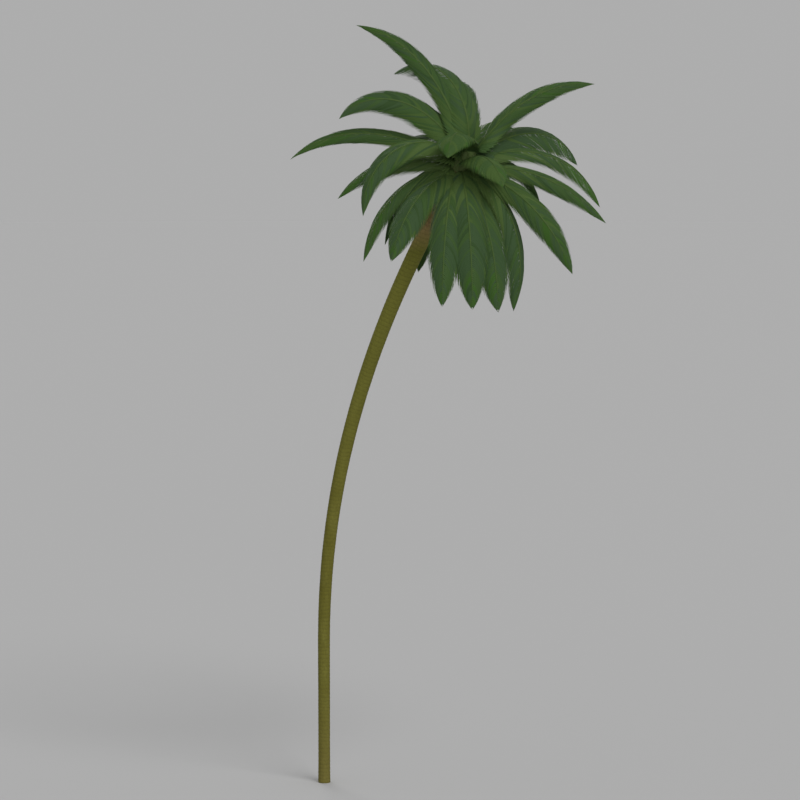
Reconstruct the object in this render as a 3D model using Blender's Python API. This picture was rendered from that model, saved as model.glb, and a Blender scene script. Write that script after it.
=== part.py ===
"""A tall, slender palm with a leaning trunk and an open crown of long pointed fronds.

Metres, +Z up. The origin is the centre of the flat cut under the trunk, at ground level.
Azimuths are in degrees: 0 is +X, 90 is +Y, the side away from the usual viewer.
"""

from collections import namedtuple
from math import cos, exp, pi, radians, sin

import bpy
from mathutils import Vector
from mathutils.bvhtree import BVHTree

# Trunk: a straight foot, then one even bow towards LEAN_AZIMUTH
TRUNK_HEIGHT = 14.6
STRAIGHT_FOOT = 3.5
LEAN = 3.41
LEAN_AZIMUTH = -30.0
BOW_POWER = 2.05
TRUNK_RADIUS = 0.146
ROOT_FLARE = 0.008
ROOT_FLARE_HEIGHT = 0.35
TOP_SWELL = 0.055
TOP_SWELL_POWER = 1.9
TRUNK_SIDES = 16
TRUNK_RINGS = 38
# Under 1, the rings stand closer towards the top, where the trunk bends most
RING_SPACING_POWER = 0.85

# Heart: the bud and the sheaths that the fronds spring from
HEART_LENGTH = 1.60
HEART_RADIUS = 0.215
HEART_FOOT_RADIUS = 0.196
HEART_TIP_RADIUS = 0.03
# Shares of its length: where its swelling ends, and where it starts to close to the tip
HEART_SWELL_END = 0.80
HEART_SHOULDER = 0.55
HEART_BLUNTNESS = 0.45
# From the trunk's top up to the point that the fronds' seats are counted from
CROWN_CENTRE_HEIGHT = 1.05
HEART_SIDES = 16
HEART_RINGS = 12

# Every frond: the gap between two pieces, and how far off the heart's axis a rib starts
CLEARANCE = 0.0003
STALK_START = 0.097
# Its leaflets, by their place along the rib from 0 to 1
FIRST_LEAFLET = 0.055
LAST_LEAFLET = 0.975
LEAFLET_PAIRS = 8
PAIRS_BEFORE_BEND = 3
SLIT = 0.022
LEAFLET_THICKNESS = 0.013
# How far forward a leaflet sweeps, as a share of what is left of the rib. The first ones sweep
# FIRST_SWEEP of that, and those past FULL_SWEEP_FROM all of it.
LEAFLET_REACH = 0.36
FIRST_SWEEP = 0.2
FULL_SWEEP_FROM = 0.3
LEAFLET_CURVE = 1.5
# Where a leaflet's outline has its corners, as shares of its way out
LEVELS = (0.42, 0.88)
# The blade's outline: its width at the root, how soon it fills out, and how it closes to its tip
BLADE_BASE_SHARE = 0.78
FILL_POWER = 0.7
SHOULDER_POWER = 2.1
TIP_POWER = 0.85
# The blade's arch across, in degrees at the rib and added by the margin, and its turn along the rib
RIB_CAMBER = 6.0
MARGIN_CAMBER = 36.0
ROLL_START = 0.30
# The rib, from root to tip
RIB_WIDTH = (0.066, 0.016)
RIB_THICKNESS = (0.048, 0.018)
RIB_TIP_HALF = 0.004
# A leaflet is shortened by these tries until it stays this far from everything else
KEEP_AWAY = 0.012
NARROWER_TRIES = (1.0, 0.8, 0.6, 0.4)
# A frond over this length is two solids, parted at its bend
SHORTEST_PARTED = 2.5

BARK_OLIVE = (0.120, 0.112, 0.022)
SHEATH_BROWN = (0.170, 0.095, 0.045)
LEAF_GREEN = (0.055, 0.110, 0.030)
BARK_ROUGHNESS = 0.75
SHEATH_ROUGHNESS = 0.85
LEAF_ROUGHNESS = 0.5
CREASE_ANGLE = 35.0

Frond = namedtuple("Frond", "name azimuth rise droop bend length width roll seat peak")

# azimuth: the way it points. rise: how steeply it leaves the heart. droop: how far it has turned
# down by its tip. bend: over 1 turns near the tip, under 1 near the heart. seat: how far up the
# heart it is rooted, from the trunk's axis point CROWN_CENTRE. peak: where the blade is widest.
FRONDS = (
    Frond("left_top", 168, 69, 60, 1.78, 4.20, 0.53, -60, 0.26, 0.43),
    Frond("left_high", 183, 54, 107, 1.73, 3.62, 0.80, -60, 0.11, 0.38),
    Frond("left_level", 176, 24.5, 67, 1.75, 4.33, 0.47, -56, -0.06, 0.40),
    Frond("left_low_back", 172, 12, 67, 1.4, 3.21, 0.65, -42, -0.18, 0.45),
    Frond("left_low", 207, 47, 140, 0.9, 3.78, 0.82, -30, 0.00, 0.30),
    Frond("left_drooping", 198, 5, 87, 0.8, 3.50, 0.55, -22, -0.26, 0.57),
    Frond("left_hanging", 232, -6.5, 66, 1.0, 3.45, 0.88, -13, -0.32, 0.60),
    Frond("front_hanging_1", 260, 7, 92, 0.5, 4.03, 0.83, -2, -0.37, 0.63),
    Frond("front_hanging_2", 277, 6, 94, 0.5, 4.13, 0.90, 4, -0.26, 0.65),
    Frond("front_hanging_3", 297, 3, 91, 0.5, 4.00, 0.88, 5, -0.39, 0.66),
    Frond("front_hanging_4", 324, 8, 118, 0.62, 4.13, 0.70, 6, -0.29, 0.66),
    Frond("right_drooping", -33, -8, 60, 0.9, 4.03, 0.68, 45, -0.17, 0.53),
    Frond("right_low", -5, 6, 56, 1.0, 3.75, 0.56, 42, -0.12, 0.51),
    Frond("right_level", 8, 22.5, 95, 1.3, 3.84, 0.60, 37, -0.02, 0.64),
    Frond("right_high", 24, 31, 101, 1.87, 3.34, 0.96, 44, 0.08, 0.61),
    Frond("right_top", 4, 53.8, 60, 1.48, 3.53, 0.56, 54, 0.22, 0.45),
    Frond("young_left", 254, 60, 128, 1.05, 2.20, 1.00, 0, 0.16, 0.48),
    Frond("young_right", 300, 33, 100, 0.95, 2.00, 1.00, 0, -0.02, 0.48),
    Frond("rear_left_top", 136, 94.5, 126, 1.12, 3.80, 0.94, -19, 0.32, 0.61),
    Frond("rear_top", 100, 73, 94, 1.15, 3.75, 0.82, -10, 0.20, 0.50),
    Frond("rear_high", 66, 50, 100, 1.1, 3.60, 0.75, 0, 0.13, 0.50),
    Frond("rear_left", 126, 40, 92, 1.0, 3.80, 0.75, -10, 0.02, 0.50),
    Frond("rear_right", 48, 22, 84, 1.0, 3.25, 0.70, 10, -0.05, 0.50),
    Frond("rear_level", 88, 24, 90, 1.0, 3.90, 0.75, 0, -0.08, 0.50),
    Frond("rear_left_low", 140, 8, 92, 0.9, 3.40, 0.65, -10, -0.16, 0.50),
    Frond("rear_hanging_1", 117, -4, 80, 0.7, 3.45, 0.75, 0, -0.34, 0.58),
    Frond("rear_hanging_2", 94, 2, 84, 0.7, 3.80, 0.75, 0, -0.26, 0.58),
    Frond("rear_hanging_3", 66, 0, 82, 0.7, 3.70, 0.75, 0, -0.34, 0.58),
)


def clear_scene():
    """Start from an empty scene."""
    for thing in list(bpy.data.objects):
        bpy.data.objects.remove(thing, do_unlink=True)


def make_material(name, colour, roughness):
    """A plain finish with the part's colour."""
    material = bpy.data.materials.new(name)
    material.use_nodes = True
    shader = material.node_tree.nodes["Principled BSDF"]
    shader.inputs["Base Color"].default_value = (*colour, 1.0)
    shader.inputs["Roughness"].default_value = roughness
    shader.inputs["Metallic"].default_value = 0.0
    return material


def make_object(name, points, faces, material):
    """One named solid from its corners and faces."""
    mesh = bpy.data.meshes.new(name)
    mesh.from_pydata(points, [], faces)
    mesh.materials.append(material)
    mesh.shade_smooth()
    mesh.set_sharp_from_angle(angle=radians(CREASE_ANGLE))
    thing = bpy.data.objects.new(name, mesh)
    bpy.context.scene.collection.objects.link(thing)
    return thing


def smooth_step(share):
    """0 below 0, 1 above 1, and an even S between."""
    share = min(max(share, 0.0), 1.0)
    return share * share * (3 - 2 * share)


def axis_point(height):
    """The trunk's centre line, carried on above its top for the heart."""
    bowed = max(height - STRAIGHT_FOOT, 0.0) / (TRUNK_HEIGHT - STRAIGHT_FOOT)
    offset = LEAN * bowed**BOW_POWER
    lean = radians(LEAN_AZIMUTH)
    return Vector((offset * cos(lean), offset * sin(lean), height))


def axis_direction(height):
    """The way the centre line runs at this height."""
    step = 0.02
    return (axis_point(height + step) - axis_point(height - step)).normalized()


TRUNK_TOP = axis_point(TRUNK_HEIGHT)
CROWN_AXIS = axis_direction(TRUNK_HEIGHT)
CROWN_CENTRE = TRUNK_TOP + CROWN_AXIS * CROWN_CENTRE_HEIGHT


def tube(rings, sides):
    """Corners and faces of a closed tube. Each ring is (centre, direction, radius)."""
    points = []
    faces = []
    for centre, direction, radius in rings:
        across = direction.cross(Vector((0, 1, 0))).normalized()
        other = direction.cross(across)
        for side in range(sides):
            turn = 2 * pi * side / sides
            points.append(centre + (across * cos(turn) + other * sin(turn)) * radius)
    for ring in range(len(rings) - 1):
        for side in range(sides):
            a = ring * sides + side
            b = ring * sides + (side + 1) % sides
            faces.append((a, b, b + sides, a + sides))
    faces.append(tuple(reversed(range(sides))))
    faces.append(tuple(range(len(points) - sides, len(points))))
    return points, faces


def trunk_radius(height):
    """A slight flare at the root and a swelling under the crown."""
    share = height / TRUNK_HEIGHT
    return (
        TRUNK_RADIUS
        + ROOT_FLARE * exp(-height / ROOT_FLARE_HEIGHT)
        + TOP_SWELL * share**TOP_SWELL_POWER
    )


def make_trunk(material):
    """The trunk, cut flat at the ground and square to its axis at the top."""
    rings = [(Vector((0, 0, 0)), Vector((0, 0, 1)), trunk_radius(0))]
    for ring in range(1, TRUNK_RINGS + 1):
        height = TRUNK_HEIGHT * (ring / TRUNK_RINGS) ** RING_SPACING_POWER
        rings.append((axis_point(height), axis_direction(height), trunk_radius(height)))
    return make_object("trunk", *tube(rings, TRUNK_SIDES), material)


def heart_shape(grown):
    """Corners and faces of the heart, with its walls moved out by grown."""
    rings = []
    for ring in range(HEART_RINGS + 1):
        share = ring / HEART_RINGS
        swell = sin(pi * min(share / HEART_SWELL_END, 1.0))
        wide = HEART_FOOT_RADIUS + (HEART_RADIUS - HEART_FOOT_RADIUS) * swell
        past = max(share - HEART_SHOULDER, 0.0) / (1 - HEART_SHOULDER)
        radius = max(wide * max(1 - past, 0.0) ** HEART_BLUNTNESS, HEART_TIP_RADIUS)
        along = CLEARANCE - grown + (HEART_LENGTH + 2 * grown) * share
        rings.append((TRUNK_TOP + CROWN_AXIS * along, CROWN_AXIS, radius + grown))
    return tube(rings, HEART_SIDES)


def make_heart(material):
    """The heart, and a hidden copy that is a touch larger to cut the fronds' roots by."""
    heart = make_object("heart", *heart_shape(0.0), material)
    cutter = make_object("heart_cutter", *heart_shape(CLEARANCE), material)
    cutter.hide_render = True
    cutter.display_type = "WIRE"
    return heart, cutter


class Blade:
    """A frond's curved surface: along runs 0 to 1 from root to tip, reach 0 to 1 from the rib
    to the margin, and side is 1 on the left of the rib and -1 on its right."""

    STEPS = 96

    def __init__(self, frond):
        self.frond = frond
        outward = Vector((cos(radians(frond.azimuth)), sin(radians(frond.azimuth)), 0))
        outward = (outward - CROWN_AXIS * outward.dot(CROWN_AXIS)).normalized()
        point = CROWN_CENTRE + CROWN_AXIS * frond.seat + outward * STALK_START
        self.points = [point.copy()]
        for step in range(self.STEPS):
            heading = self.heading((step + 0.5) / self.STEPS)
            point = point + heading * (frond.length / self.STEPS)
            self.points.append(point.copy())

    def heading(self, along):
        """The way the rib runs, as a unit vector."""
        frond = self.frond
        slope = radians(frond.rise - frond.droop * max(along, 0.0) ** frond.bend)
        turn = radians(frond.azimuth)
        return Vector((cos(slope) * cos(turn), cos(slope) * sin(turn), sin(slope)))

    def frame(self, along):
        """The rib's point, and the unit vectors to the blade's left and out of its upper face."""
        place = min(max(along, 0.0), 1.0) * self.STEPS
        step = min(int(place), self.STEPS - 1)
        point = self.points[step].lerp(self.points[step + 1], place - step)
        heading = self.heading(along)
        turn = radians(self.frond.azimuth)
        left = Vector((-sin(turn), cos(turn), 0))
        up = heading.cross(left)
        roll = radians(self.frond.roll) * smooth_step(along / ROLL_START)
        return (
            point,
            left * cos(roll) + up * sin(roll),
            up * cos(roll) - left * sin(roll),
        )

    def half_width(self, along):
        """Half the blade's width, measured over its curve."""
        peak = self.frond.peak
        filled = smooth_step(along / peak) ** FILL_POWER
        past = max(along - peak, 0.0) / (1 - peak)
        closing = max(1 - past**SHOULDER_POWER, 0.0) ** TIP_POWER
        return self.frond.width / 2 * (BLADE_BASE_SHARE + (1 - BLADE_BASE_SHARE) * filled) * closing

    def place(self, along, side, reach, lift, least):
        """A point of the blade, which is arched across like a gutter turned over. It is lifted
        off the middle of the blade, and stands out by least more than its reach."""
        point, left, up = self.frame(along)
        outward = left * side
        start = radians(RIB_CAMBER)
        bend = radians(MARGIN_CAMBER)
        lean = start + bend * reach
        width = self.half_width(along)
        out = (sin(lean) - sin(start)) / bend * width
        drop = (cos(start) - cos(lean)) / bend * width
        face = up * cos(lean) + outward * sin(lean)
        return point + outward * (out + least) - up * drop + face * lift


def half_of(ends, along):
    """Half of a size that runs evenly from its first value to its last."""
    return (ends[0] + (ends[1] - ends[0]) * along) / 2


def forward(root, reach):
    """How far along the frond a leaflet rooted at root has got, at this share of its way out."""
    sweep = FIRST_SWEEP + (1 - FIRST_SWEEP) * smooth_step(root / FULL_SWEEP_FROM)
    return root + LEAFLET_REACH * (1 - root) * sweep * reach**LEAFLET_CURVE


def leaflet_outline(blade, root, end, side, share, half=LEAFLET_THICKNESS / 2):
    """Rows of (trailing, leading) corners, upper then under, from rib to tip, and the tip's two."""

    def corner(edge, reach, lift):
        along = forward(edge, reach)
        return blade.place(along, side, reach, lift, half_of(RIB_WIDTH, along))

    rows = [
        [corner(edge, level * share, lift) for edge in (root, end)]
        for level in LEVELS
        for lift in (half, -half)
    ]
    return rows, [corner(end, share, lift) for lift in (half, -half)]


class Solid:
    """Corners and faces of one piece, gathered as it is built."""

    def __init__(self):
        self.points = []
        self.faces = []

    def add(self, point):
        self.points.append(point)
        return len(self.points) - 1

    def quad(self, a, b, c, d, flip):
        self.faces.append((d, c, b, a) if flip else (a, b, c, d))

    def tri(self, a, b, c, flip):
        self.faces.append((c, b, a) if flip else (a, b, c))

    def panel(self, a, b, c, d, flip):
        """Two triangles that meet along a to c, so that a thin wall's two faces fold alike."""
        self.tri(a, b, c, flip)
        self.tri(a, c, d, flip)


def leaflet_patch(blade, root, end, side, share):
    """The leaflet's own faces as a loose shape, to test what it would touch."""
    half = LEAFLET_THICKNESS / 2 + KEEP_AWAY
    placed, tip = leaflet_outline(blade, root, end, side, share, half)
    near = [
        [blade.place(edge, side, 0, lift, half_of(RIB_WIDTH, edge)) for edge in (root, end)]
        for lift in (half, -half)
    ]
    rows = near + placed
    points = [point for row in rows for point in row] + tip
    faces = []
    for row in range(0, len(rows) - 2, 2):
        top = row * 2
        faces.append((top, top + 1, top + 5, top + 4))
        faces.append((top + 2, top + 3, top + 7, top + 6))
    last = (len(rows) - 2) * 2
    faces.append((last, last + 1, len(points) - 2))
    faces.append((last + 2, last + 3, len(points) - 1))
    return points, faces


def half_frond(blade, name, first, last, start, stop, shares, material):
    """The rib from start to stop with the leaflet pairs first to last, as one closed solid."""
    solid = Solid()
    pitch, slit = leaflet_span(blade)
    roots = [FIRST_LEAFLET + pitch * pair for pair in range(first, last)]
    stations = [start]
    for root in roots:
        stations += [root, root + pitch - slit]
    stations.append(stop)
    corners = []
    for along in stations:
        lift = half_of(RIB_THICKNESS, along)
        half = RIB_TIP_HALF if along >= 1 else half_of(RIB_WIDTH, along)
        corners.append([
            solid.add(blade.place(along, side, 0, high, half))
            for side, high in ((1, lift), (-1, lift), (-1, -lift), (1, -lift))
        ])
    for index in range(len(stations) - 1):
        here, there = corners[index], corners[index + 1]
        solid.panel(here[1], here[0], there[0], there[1], True)
        solid.panel(here[2], here[3], there[3], there[2], False)
        leafy = index % 2 == 1 and index < len(stations) - 2
        for side, upper, lower in ((1, 0, 3), (-1, 1, 2)):
            flip = side < 0
            pair = first + index // 2
            share = shares.get((pair, side), 0) if leafy else 0
            if not share:
                solid.quad(here[upper], there[upper], there[lower], here[lower], flip)
                continue
            add_leaflet(
                solid, blade, stations[index], stations[index + 1], side, share,
                (here[upper], there[upper], here[lower], there[lower]), flip,
            )
    solid.quad(*corners[0], True)
    solid.quad(*corners[-1], False)
    return make_object(name, solid.points, solid.faces, material)


def add_leaflet(solid, blade, root, end, side, share, ring, flip):
    """Grow one leaflet out of the rib's side, whose four corners are given as ring."""
    placed, tip = leaflet_outline(blade, root, end, side, share)
    trailing, leading, trailing_under, leading_under = ring
    for row in range(0, len(placed), 2):
        upper = [solid.add(point) for point in placed[row]]
        under = [solid.add(point) for point in placed[row + 1]]
        solid.panel(trailing, leading, upper[1], upper[0], flip)
        solid.panel(trailing_under, under[0], under[1], leading_under, flip)
        solid.quad(trailing_under, trailing, upper[0], under[0], flip)
        solid.quad(leading, leading_under, under[1], upper[1], flip)
        trailing, leading = upper
        trailing_under, leading_under = under
    top = solid.add(tip[0])
    low = solid.add(tip[1])
    solid.tri(trailing, leading, top, flip)
    solid.tri(leading_under, trailing_under, low, flip)
    solid.quad(trailing_under, trailing, top, low, flip)
    solid.quad(leading, leading_under, low, top, flip)


def leaflet_span(blade):
    """The share of the frond's length from one leaflet to the next, and that of a slit."""
    return (LAST_LEAFLET - FIRST_LEAFLET) / LEAFLET_PAIRS, SLIT / blade.frond.length


def free_shares(blade, taken):
    """How long each leaflet may be before it comes near anything that is already there."""
    shares = {}
    pitch, slit = leaflet_span(blade)
    for pair in range(LEAFLET_PAIRS):
        root = FIRST_LEAFLET + pitch * pair
        for side in (1, -1):
            for share in NARROWER_TRIES:
                points, faces = leaflet_patch(blade, root, root + pitch - slit, side, share)
                patch = BVHTree.FromPolygons(points, faces)
                if not any(patch.overlap(other) for other in taken):
                    shares[pair, side] = share
                    break
    return shares


def make_frond(blade, shares, material, cutter):
    """One frond with its root cut clear of the heart. A long one is parted at its bend."""
    name = blade.frond.name
    if blade.frond.length < SHORTEST_PARTED:
        whole = half_frond(blade, name, 0, LEAFLET_PAIRS, 0.0, 1.0, shares, material)
        seat_on_heart(whole, cutter)
        return
    pitch, slit = leaflet_span(blade)
    part = FIRST_LEAFLET + pitch * PAIRS_BEFORE_BEND - slit / 2
    gap = CLEARANCE / blade.frond.length / 2
    inner = half_frond(
        blade, name + "_inner", 0, PAIRS_BEFORE_BEND, 0.0, part - gap, shares, material
    )
    seat_on_heart(inner, cutter)
    half_frond(
        blade, name + "_outer", PAIRS_BEFORE_BEND, LEAFLET_PAIRS, part + gap, 1.0,
        shares, material,
    )


def seat_on_heart(thing, cutter):
    """Cut away what would be inside the heart."""
    seat = thing.modifiers.new("seat on the heart", "BOOLEAN")
    seat.operation = "DIFFERENCE"
    seat.solver = "EXACT"
    seat.object = cutter


def shape_of(thing):
    """An object's faces as a shape that others can be tested against."""
    points = [vertex.co.copy() for vertex in thing.data.vertices]
    faces = [tuple(face.vertices) for face in thing.data.polygons]
    return BVHTree.FromPolygons(points, faces)


def main():
    clear_scene()
    bark = make_material("bark", BARK_OLIVE, BARK_ROUGHNESS)
    sheath = make_material("sheath", SHEATH_BROWN, SHEATH_ROUGHNESS)
    leaf = make_material("leaf", LEAF_GREEN, LEAF_ROUGHNESS)
    trunk = make_trunk(bark)
    heart, cutter = make_heart(sheath)
    limbs = [shape_of(trunk), shape_of(heart)]
    blades = [Blade(frond) for frond in FRONDS]
    ribs = {}
    for blade in blades:
        rib = half_frond(blade, "rib", 0, LEAFLET_PAIRS, 0.0, 1.0, {}, leaf)
        ribs[blade] = shape_of(rib)
        bpy.data.objects.remove(rib, do_unlink=True)
    leaflets = []
    for blade in blades:
        others = [ribs[other] for other in blades if other is not blade]
        shares = free_shares(blade, limbs + others + leaflets)
        make_frond(blade, shares, leaf, cutter)
        pitch, slit = leaflet_span(blade)
        for (pair, side), share in shares.items():
            root = FIRST_LEAFLET + pitch * pair
            patch = leaflet_patch(blade, root, root + pitch - slit, side, share)
            leaflets.append(BVHTree.FromPolygons(*patch))


main()
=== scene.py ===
"""A tall palm with a leaning trunk and an open crown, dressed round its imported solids.

The trunk, the heart and every frond follow the same named sizes and the same rule as the solids.
Metres, +Z up, with the origin at the centre of the flat cut under the trunk.
"""

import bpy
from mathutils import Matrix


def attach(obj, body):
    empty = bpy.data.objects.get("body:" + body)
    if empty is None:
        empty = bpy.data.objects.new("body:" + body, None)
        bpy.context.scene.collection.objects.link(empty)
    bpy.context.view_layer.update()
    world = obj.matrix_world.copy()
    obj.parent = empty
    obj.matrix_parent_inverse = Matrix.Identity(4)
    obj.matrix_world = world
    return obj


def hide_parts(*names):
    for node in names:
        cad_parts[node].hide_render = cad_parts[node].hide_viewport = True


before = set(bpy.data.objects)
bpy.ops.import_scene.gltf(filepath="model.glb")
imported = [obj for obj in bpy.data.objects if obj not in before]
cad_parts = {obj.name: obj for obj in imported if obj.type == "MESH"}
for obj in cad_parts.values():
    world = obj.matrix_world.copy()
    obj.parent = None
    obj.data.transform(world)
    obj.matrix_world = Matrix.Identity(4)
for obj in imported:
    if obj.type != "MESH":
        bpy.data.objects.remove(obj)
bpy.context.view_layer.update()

from collections import namedtuple
from functools import partial
from math import cos, exp, pi, radians, sin, tau
from random import Random

import bpy
from bpy.props import FloatProperty, FloatVectorProperty, IntProperty, PointerProperty
from bpy.types import Operator, Panel, PropertyGroup
from mathutils import Quaternion, Vector

bl_info = {
    "name": "Leaning Palm",
    "version": (1, 0, 0),
    "blender": (4, 5, 0),
    "location": "3D View > Sidebar > Palm",
    "description": "Builds a palm's bark, leaf bases, ribs and leaflets round its solids",
    "category": "Add Mesh",
}

# The heart, as the solids have it
HEART_LENGTH = 1.60
HEART_RADIUS = 0.215
HEART_FOOT_RADIUS = 0.196
HEART_TIP_RADIUS = 0.03
HEART_SWELL_END = 0.80
HEART_SHOULDER = 0.55
HEART_BLUNTNESS = 0.45
CROWN_CENTRE_HEIGHT = 1.05

# Every frond, as the solids have it
STALK_START = 0.097
FIRST_LEAFLET = 0.055
LAST_LEAFLET = 0.975
LEAFLET_REACH = 0.36
FIRST_SWEEP = 0.2
FULL_SWEEP_FROM = 0.3
LEAFLET_CURVE = 1.5
BLADE_BASE_SHARE = 0.78
FILL_POWER = 0.7
SHOULDER_POWER = 2.1
TIP_POWER = 0.85
RIB_CAMBER = 6.0
MARGIN_CAMBER = 36.0
ROLL_START = 0.30
RIB_WIDTH = (0.066, 0.016)
RIB_THICKNESS = (0.048, 0.018)
SHORTEST_PARTED = 2.5

# The leaflets: a few more than the solids' stand nearer the heart and spread wider there, and
# from END_FROM on they turn towards the frond's end, so that it comes to a point
NEAREST_LEAFLET = 0.02
BASAL_SPREAD = 0.3
END_REACH = 0.85
END_FROM = 0.55
END_SPAN = 0.35
BASAL_BREADTH = 0.40
BASAL_END = 0.30
ROOT_CROWDING = 1.15
# Their length as a share of the solids' half width, and where it is more, so that no sky shows
# between the hanging fronds. From TIP_FROM on it falls back to 1, as they close on the tip.
FULLNESS = 1.14
FULLER = {"front_hanging_3": 1.07, "front_hanging_4": 1.06, "rear_hanging_3": 1.2}
TIP_FROM = 0.7

# The bark's noises: how often each changes round the trunk and up a metre of it
RING_WAVES = (0.5, 1.3)
FISSURES = (5.0, 2.4)
BULGES = (0.9, 1.1)
# The rings: how far they wave, by their spacing, how sharp a scar is, and where between two
# scars the bark is level with the trunk's radius
WAVE_DEPTH = 1.7
SCAR_SHARPNESS = 45.0
RING_LEVEL = 0.6
# The fissures' noise is made stronger, and cut off flat at its top
FISSURE_GAIN = 3.0
FISSURE_TOP = 0.2
# Where the bark turns greener, in metres from the ground, and browner: at its foot, and under
# the crown in metres down from the trunk's top, where it is also made lighter, as painted light
# against the crown's shade
HIGH_BARK = (6.0, 12.5)
FOOT_BARK_TOP = 2.6
CROWN_BARK_AND_LIGHT = (1.3, 0.25)
# Where the heart's brown fibre gives way to green, in metres from its foot
SHEATH = (0.30, 0.75)

Frond = namedtuple("Frond", "name azimuth rise droop bend length width roll seat peak tone")

# The values are those of the solids, in degrees and metres. rise, droop and bend make the rib's
# curve, seat is the place on the heart from the crown's centre, and peak is where it is widest.
# tone says which greens its leaflets are mostly dealt.
FRONDS = (
    Frond("left_top", 168, 69, 60, 1.78, 4.20, 0.53, -60, 0.26, 0.43, "bright"),
    Frond("left_high", 183, 54, 107, 1.73, 3.62, 0.80, -60, 0.11, 0.38, "cool"),
    Frond("left_level", 176, 24.5, 67, 1.75, 4.33, 0.47, -56, -0.06, 0.40, "bright"),
    Frond("left_low_back", 172, 12, 67, 1.4, 3.21, 0.65, -42, -0.18, 0.45, "bright"),
    Frond("left_low", 207, 47, 140, 0.9, 3.78, 0.82, -30, 0.00, 0.30, "cool"),
    Frond("left_drooping", 198, 5, 87, 0.8, 3.50, 0.55, -22, -0.26, 0.57, "bright"),
    Frond("left_hanging", 232, -6.5, 66, 1.0, 3.45, 0.88, -13, -0.32, 0.60, "cool"),
    Frond("front_hanging_1", 260, 7, 92, 0.5, 4.03, 0.83, -2, -0.37, 0.63, "cool"),
    Frond("front_hanging_2", 277, 6, 94, 0.5, 4.13, 0.90, 4, -0.26, 0.65, "cool"),
    Frond("front_hanging_3", 297, 3, 91, 0.5, 4.00, 0.88, 5, -0.39, 0.66, "cool"),
    Frond("front_hanging_4", 324, 8, 118, 0.62, 4.13, 0.70, 6, -0.29, 0.66, "cool"),
    Frond("right_drooping", -33, -8, 60, 0.9, 4.03, 0.68, 45, -0.17, 0.53, "mid"),
    Frond("right_low", -5, 6, 56, 1.0, 3.75, 0.56, 42, -0.12, 0.51, "mid"),
    Frond("right_level", 8, 22.5, 95, 1.3, 3.84, 0.60, 37, -0.02, 0.64, "bright"),
    Frond("right_high", 24, 31, 101, 1.87, 3.34, 0.96, 44, 0.08, 0.61, "cool"),
    Frond("right_top", 4, 53.8, 60, 1.48, 3.53, 0.56, 54, 0.22, 0.45, "bright"),
    Frond("young_left", 254, 60, 128, 1.05, 2.20, 1.00, 0, 0.16, 0.48, "young"),
    Frond("young_right", 300, 33, 100, 0.95, 2.00, 1.00, 0, -0.02, 0.48, "young"),
    Frond("rear_left_top", 136, 94.5, 126, 1.12, 3.80, 0.94, -19, 0.32, 0.61, "mid"),
    Frond("rear_top", 100, 73, 94, 1.15, 3.75, 0.82, -10, 0.20, 0.50, "mid"),
    Frond("rear_high", 66, 50, 100, 1.1, 3.60, 0.75, 0, 0.13, 0.50, "mid"),
    Frond("rear_left", 126, 40, 92, 1.0, 3.80, 0.75, -10, 0.02, 0.50, "mid"),
    Frond("rear_right", 48, 22, 84, 1.0, 3.25, 0.70, 10, -0.05, 0.50, "bright"),
    Frond("rear_level", 88, 24, 90, 1.0, 3.90, 0.75, 0, -0.08, 0.50, "bright"),
    Frond("rear_left_low", 140, 8, 92, 0.9, 3.40, 0.65, -10, -0.16, 0.50, "mid"),
    Frond("rear_hanging_1", 117, -4, 80, 0.7, 3.45, 0.75, 0, -0.34, 0.58, "bright"),
    Frond("rear_hanging_2", 94, 2, 84, 0.7, 3.80, 0.75, 0, -0.26, 0.58, "bright"),
    Frond("rear_hanging_3", 66, 0, 82, 0.7, 3.70, 0.75, 0, -0.34, 0.58, "bright"),
)

# The sixth green, pale, is partly painted light for the shaded hollow near the heart
SHADES = ("deep", "cool", "mid", "light", "bright", "pale")
# How often a leaflet is dealt each of the first five at the frond's root, its middle and its end
DEALT = {
    "cool": ((0.0, 0.25, 0.45, 0.3, 0.0), (0.15, 0.6, 0.25, 0.0, 0.0), (0.0, 0.4, 0.35, 0.0, 0.25)),
    "mid": ((0.0, 0.1, 0.5, 0.4, 0.0), (0.12, 0.33, 0.5, 0.05, 0.0), (0.0, 0.1, 0.5, 0.0, 0.4)),
    "bright": ((0.0, 0.0, 0.6, 0.4, 0.0), (0.1, 0.2, 0.6, 0.1, 0.0), (0.0, 0.0, 0.4, 0.0, 0.6)),
    "young": ((0.0, 0.0, 0.3, 0.7, 0.0), (0.0, 0.0, 0.55, 0.45, 0.0), (0.0, 0.0, 0.5, 0.3, 0.2)),
}
# The lower fronds are paler near the heart: partly their own paler leaflet bases, and partly
# painted light that lifts the shade in the crown's hollow
PALE_AND_LIT_BELOW_SEAT = 0.05
PALE_AND_LIT_END = 0.45
# The shares of leaflets that are lighter against the rib at the frond's root, and brighter at
# their own tips from BRIGHT_FROM on
LIGHT_AT_RIB = 0.4
BRIGHT_TIPS = 0.6
BRIGHT_FROM = 0.8


def smooth_step(share):
    """0 below 0, 1 above 1, and an even S between."""
    share = min(max(share, 0.0), 1.0)
    return share * share * (3 - 2 * share)


def half_of(ends, along):
    """Half of a size that runs evenly from its first value to its last."""
    return (ends[0] + (ends[1] - ends[0]) * along) / 2


def heart_radius(share):
    """The heart's radius at a share of its length from its foot."""
    swell = sin(pi * min(share / HEART_SWELL_END, 1.0))
    wide = HEART_FOOT_RADIUS + (HEART_RADIUS - HEART_FOOT_RADIUS) * swell
    past = max(share - HEART_SHOULDER, 0.0) / (1 - HEART_SHOULDER)
    return max(wide * max(1 - past, 0.0) ** HEART_BLUNTNESS, HEART_TIP_RADIUS)


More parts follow.
